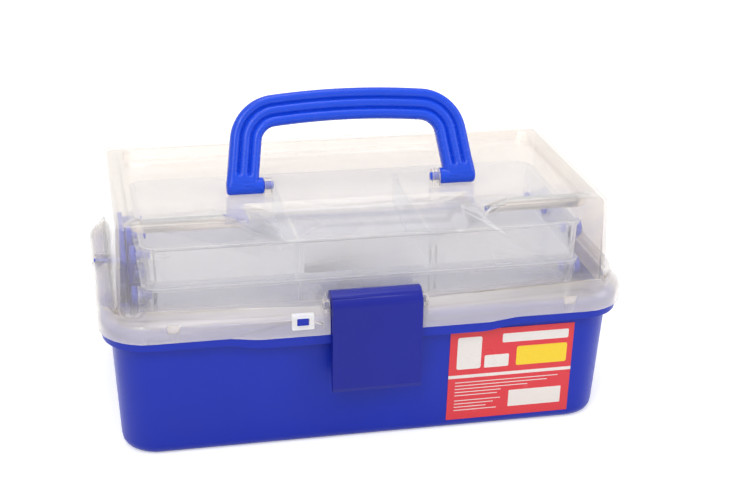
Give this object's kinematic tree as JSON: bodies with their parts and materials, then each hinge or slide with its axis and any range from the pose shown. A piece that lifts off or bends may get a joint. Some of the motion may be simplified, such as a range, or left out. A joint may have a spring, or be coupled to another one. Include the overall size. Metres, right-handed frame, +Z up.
{
  "type": "art supply box",
  "caption": "Storage box with a blue tub, a hinged clear lid with a folding bail handle and front latch, and divided trays that lift out on cantilever arms.",
  "frame": {"origin": "middle of the tub's flat bottom, at half its length and half its depth, on the surface the box stands on", "axes": "+X to the right along the length, -Y towards the latch, +Z up"},
  "size_m": [0.2818, 0.1738, 0.1727],
  "materials": {
    "tub_blue": "satin",
    "handle_blue": "gloss",
    "latch_blue": "satin",
    "arm_blue": "satin",
    "clear_lid": "translucent gloss",
    "clear_tray": "translucent satin",
    "steel": "satin",
    "label": "gloss"
  },
  "bodies": {
    "base": {"tub": "tub_blue", "hinge_pin_left": "steel", "hinge_pin_right": "steel", "front_label": "label"},
    "lid_body": {"lid": "clear_lid"},
    "handle_body": {"handle": "handle_blue"},
    "latch_body": {"latch": "latch_blue"},
    "long_arms": {"long_arm_left": "arm_blue", "long_arm_right": "arm_blue"},
    "front_arms": {"front_arm_left": "arm_blue", "front_arm_right": "arm_blue"},
    "lower_tray_body": {"lower_tray": "clear_tray", "lower_divider_left": "clear_tray", "lower_divider_right": "clear_tray"},
    "upper_tray_body": {"upper_tray": "clear_tray", "upper_divider_left": "clear_tray", "upper_divider_right": "clear_tray"},
    "rear_arms": {"rear_arm_left": "arm_blue", "rear_arm_right": "arm_blue"},
    "lid_links": {"lid_link_left": "arm_blue", "lid_link_right": "arm_blue"}
  },
  "joints": [
    {"name": "lid_hinge", "type": "hinge", "parent": "base", "child": "lid_body", "pos_m": [0, 0.084, 0.07], "axis": [-1, 0, 0], "range_deg": [0, 95]},
    {"name": "handle_pivot", "type": "hinge", "parent": "lid_body", "child": "handle_body", "pos_m": [0, -0.014, 0.1264], "axis": [-1, 0, 0], "range_deg": [-115, 0]},
    {"name": "latch_pivot", "type": "hinge", "parent": "lid_body", "child": "latch_body", "pos_m": [0, -0.0762, 0.0827], "axis": [-1, 0, 0], "range_deg": [0, 110]},
    {"name": "long_arm_pivot", "type": "hinge", "parent": "base", "child": "long_arms", "pos_m": [0, 0.023, 0.052], "axis": [-1, 0, 0], "range_deg": [0, 62.7]},
    {"name": "front_arm_pivot", "type": "hinge", "parent": "base", "child": "front_arms", "pos_m": [0, -0.0105, 0.055], "axis": [-1, 0, 0], "range_deg": [0, 62.7]},
    {"name": "lower_tray_pivot", "type": "hinge", "parent": "long_arms", "child": "lower_tray_body", "pos_m": [0, -0.0085, 0.077], "axis": [-1, 0, 0], "range_deg": [-62.7, 0]},
    {"name": "upper_tray_pivot", "type": "hinge", "parent": "long_arms", "child": "upper_tray_body", "pos_m": [0, -0.04, 0.102], "axis": [-1, 0, 0], "range_deg": [-62.7, 0]},
    {"name": "rear_arm_pivot", "type": "hinge", "parent": "lower_tray_body", "child": "rear_arms", "pos_m": [0, 0.024, 0.075], "axis": [-1, 0, 0], "range_deg": [0, 62.7]},
    {"name": "lid_link_pivot", "type": "hinge", "parent": "lid_body", "child": "lid_links", "pos_m": [0, 0, 0.082], "axis": [-1, 0, 0], "range_deg": [0, 28.31]}
  ],
  "couplings": [
    {"joint": "long_arm_pivot", "follows": "lid_hinge", "ratio": 0.66},
    {"joint": "front_arm_pivot", "follows": "lid_hinge", "ratio": 0.66},
    {"joint": "lower_tray_pivot", "follows": "lid_hinge", "ratio": -0.66},
    {"joint": "upper_tray_pivot", "follows": "lid_hinge", "ratio": -0.66},
    {"joint": "rear_arm_pivot", "follows": "lid_hinge", "ratio": 0.66},
    {"joint": "lid_link_pivot", "follows": "lid_hinge", "ratio": 0.298}
  ]
}
